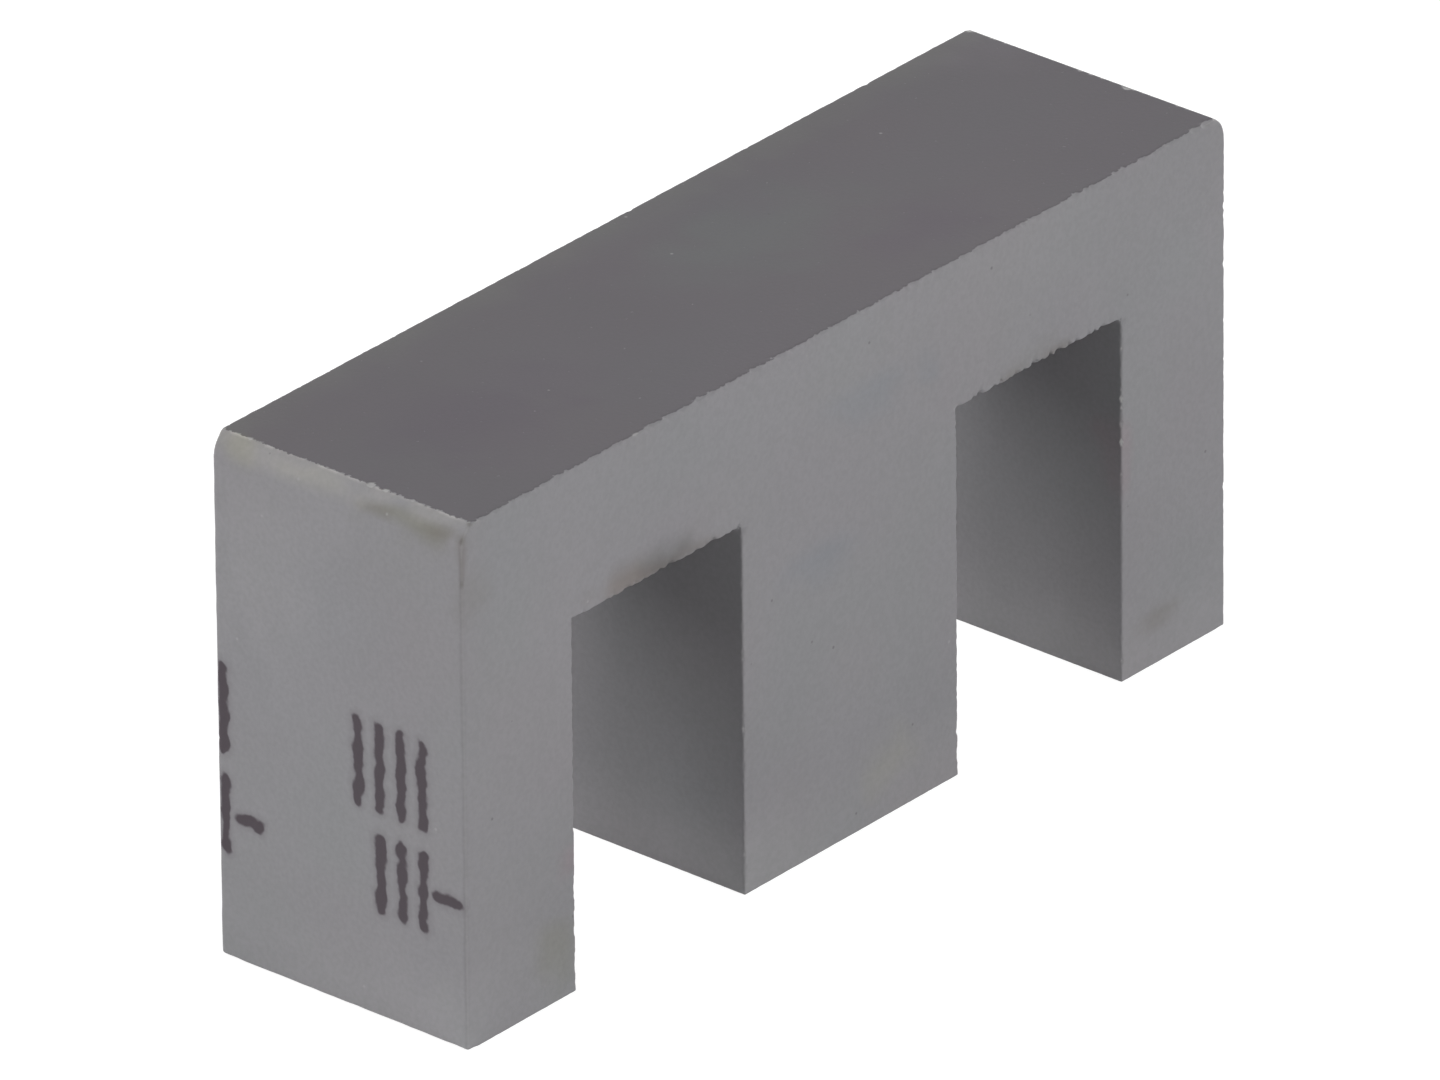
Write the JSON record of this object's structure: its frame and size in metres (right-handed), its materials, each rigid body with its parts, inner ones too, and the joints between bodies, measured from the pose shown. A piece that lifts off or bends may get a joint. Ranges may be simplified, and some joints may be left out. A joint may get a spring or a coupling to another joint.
{
  "type": "ferrite core",
  "caption": "E-shaped ferrite core with a wide centre leg, a narrower leg at each end and a winding window on each side of the centre leg, for a transformer or choke",
  "frame": {"origin": "under the middle of the centre leg, on the plane of the three pole faces", "axes": "+X along the length from one outer leg to the other, +Y through the thickness, +Z from the pole faces up to the back"},
  "size_m": [0.0254, 0.007, 0.0126],
  "materials": {
    "sintered_ferrite": "matt mid grey as sintered, darker on the back, with finely ragged edges"
  },
  "bodies": {
    "root": {"e_core": "sintered_ferrite"}
  },
  "joints": []
}
